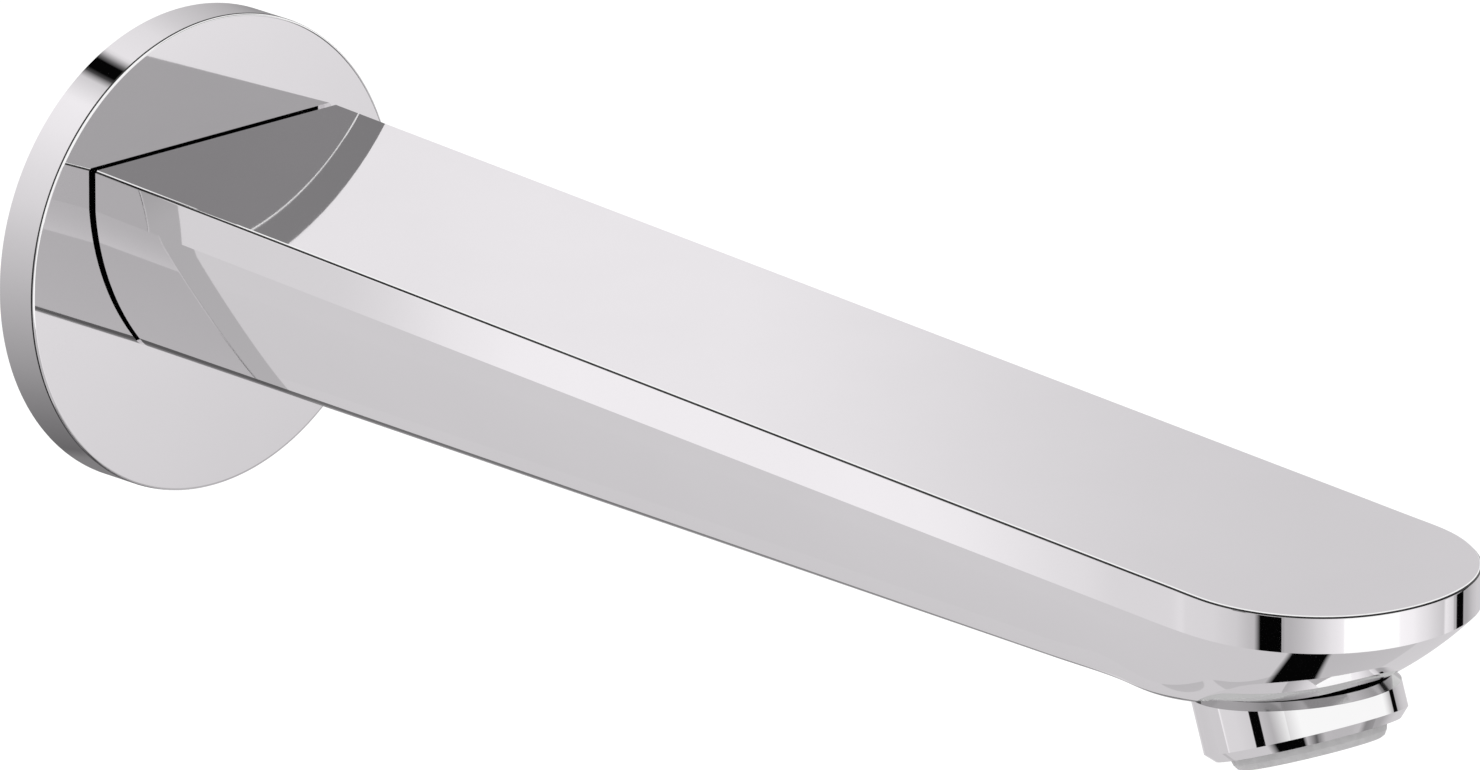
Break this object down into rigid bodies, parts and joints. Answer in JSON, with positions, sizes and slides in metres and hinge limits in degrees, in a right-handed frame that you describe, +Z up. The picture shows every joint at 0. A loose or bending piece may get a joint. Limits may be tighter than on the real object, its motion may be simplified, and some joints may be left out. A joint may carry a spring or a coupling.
{
  "type": "bath spout",
  "caption": "Wall-mounted bath spout with a flat sloping top, a round wall rosette, a rounded nose and a tilted aerator outlet underneath.",
  "frame": {"origin": "centre of the rosette's rear rim, on the plane of the finished wall", "axes": "-Y is the way the spout reaches out from the wall, +Y goes into the wall along the nipple's thread, +Z is up and X is across the spout"},
  "size_m": [0.06, 0.2351, 0.06],
  "materials": {
    "chrome_plated_body": "mirror-bright chrome plate on cast brass",
    "chrome_plated_rosette": "mirror-bright chrome plate on turned brass",
    "black_rubber": "smooth moulded rubber",
    "wall_foam": "matt closed-cell foam",
    "plain_brass": "machined brass",
    "stainless_steel": "machined stainless steel",
    "stainless_screen": "woven stainless wire",
    "light_grey_plastic": "fine matt moulded plastic",
    "white_plastic": "moulded acetal"
  },
  "bodies": {
    "root": {"spout_body": "chrome_plated_body", "rosette": "chrome_plated_rosette", "rosette_ring": "black_rubber", "wall_seal": "wall_foam", "wall_nipple": "plain_brass", "nipple_ring_rear": "black_rubber", "nipple_ring_front": "black_rubber", "locking_screw": "stainless_steel", "aerator_casing": "light_grey_plastic", "aerator_seal": "black_rubber", "outlet_grille": "light_grey_plastic", "lower_screen": "stainless_screen", "upper_screen": "stainless_screen", "air_mixer": "white_plastic", "jet_plate": "white_plastic", "flow_regulator": "white_plastic", "regulator_ring": "black_rubber", "inlet_strainer": "white_plastic"}
  },
  "joints": []
}
